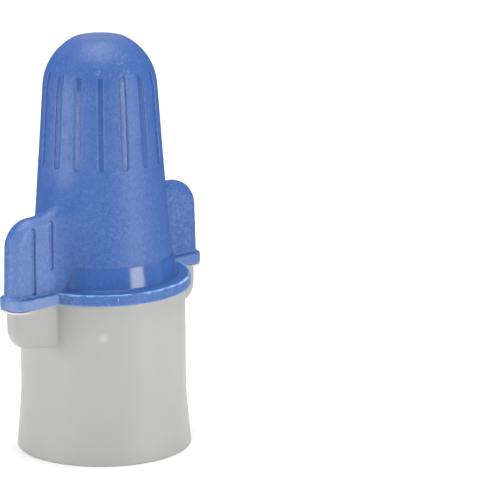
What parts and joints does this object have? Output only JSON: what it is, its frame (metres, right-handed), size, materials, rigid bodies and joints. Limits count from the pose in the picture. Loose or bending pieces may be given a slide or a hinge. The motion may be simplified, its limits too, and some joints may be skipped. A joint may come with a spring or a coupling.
{
  "type": "twist-on wire connector",
  "caption": "Winged twist-on wire connector: fluted hard cap with a coil spring inside and a soft flared skirt over the wire entry.",
  "frame": {"origin": "centre of the skirt's open mouth, in the plane of its rim", "axes": "+Z from the mouth to the closed tip; X along the two wings; the +X wing stands towards +Y of the axis and the -X wing towards -Y"},
  "size_m": [0.0306, 0.0202, 0.0475],
  "materials": {
    "cap_plastic": "moulded with a fine matt texture, polished in the band above the flange",
    "skirt_vinyl": "soft flexible plastic, smooth and satin",
    "spring_steel": "bright plated square wire"
  },
  "bodies": {
    "root": {"cap_shell": "cap_plastic", "skirt": "skirt_vinyl", "grip_spring": "spring_steel"}
  },
  "joints": []
}
